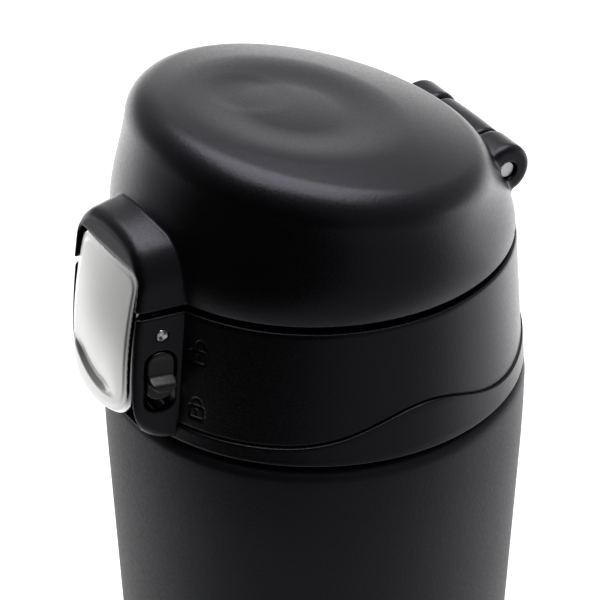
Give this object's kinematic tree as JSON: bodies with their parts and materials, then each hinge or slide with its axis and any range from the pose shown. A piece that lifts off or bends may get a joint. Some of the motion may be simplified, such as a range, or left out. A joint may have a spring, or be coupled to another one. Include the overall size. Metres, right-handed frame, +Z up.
{
  "type": "vacuum flask",
  "caption": "Slim double-walled steel travel mug with a screw-on lid: a domed flip cover on a rear hinge, a front push button under a hood and a small lock slide.",
  "frame": {"origin": "centre of the base, on the surface that the flask stands on", "axes": "+Z up along the flask's axis; the push button faces -Y, the hinge is at +Y and the lock slide is on the +X side"},
  "size_m": [0.0666, 0.072, 0.1969],
  "materials": {
    "powder_coat": "matte powder coat, fine grain",
    "black_plastic": "matte moulded plastic, fine spark grain",
    "gloss_black": "glossy moulded plastic",
    "satin_metal": "satin silver with a polished edge",
    "pin_steel": "bright drawn wire",
    "bare_steel": "brushed stainless steel",
    "copper_foil": "bright foil",
    "silicone": "matte silicone",
    "base_rubber": "matte rubber"
  },
  "bodies": {
    "bottle": {"outer_shell": "powder_coat", "inner_liner": "bare_steel", "radiation_foil": "copper_foil", "bottom_plate": "bare_steel", "vacuum_seal": "bare_steel", "getter_capsule": "bare_steel", "base_pad": "base_rubber"},
    "seal": {"stopper_seal": "silicone"},
    "lid": {"collar": "black_plastic", "stopper_body": "black_plastic", "spout": "black_plastic", "spout_seal": "silicone", "hinge_pin": "pin_steel", "hinge_spring": "pin_steel", "latch_pin": "pin_steel", "button_spring": "pin_steel"},
    "cover": {"cover": "black_plastic", "cover_liner": "black_plastic", "seal_holder": "black_plastic", "cover_seal": "silicone"},
    "button": {"button_plate": "satin_metal", "button_lever": "black_plastic"},
    "lock": {"lock_slide": "gloss_black", "lock_bar": "gloss_black"}
  },
  "joints": [
    {"name": "lid_rise", "type": "slide", "parent": "bottle", "child": "seal", "axis": [0, 0, 1], "range_m": [0, 0.01401]},
    {"name": "lid_turn", "type": "hinge", "parent": "seal", "child": "lid", "pos_m": [0, 0, 0.15], "axis": [0, 0, 1], "range_deg": [0, 720]},
    {"name": "cover_hinge", "type": "hinge", "parent": "lid", "child": "cover", "pos_m": [0, 0.027, 0.18025], "axis": [-1, 0, 0], "range_deg": [0, 120], "deforming": ["hinge_spring"]},
    {"name": "button_rock", "type": "hinge", "parent": "lid", "child": "button", "pos_m": [0, -0.0327, 0.16905], "axis": [1, 0, 0], "range_deg": [0, 4.5], "stiffness_Nm_per_rad": 0.4, "deforming": ["button_spring"]},
    {"name": "lock_travel", "type": "slide", "parent": "lid", "child": "lock", "axis": [0, -0.0523, -0.9986], "range_m": [0, 0.002]}
  ],
  "couplings": [
    {"joint": "lid_rise", "follows": "lid_turn", "m_per_rad": 0.0011141}
  ]
}
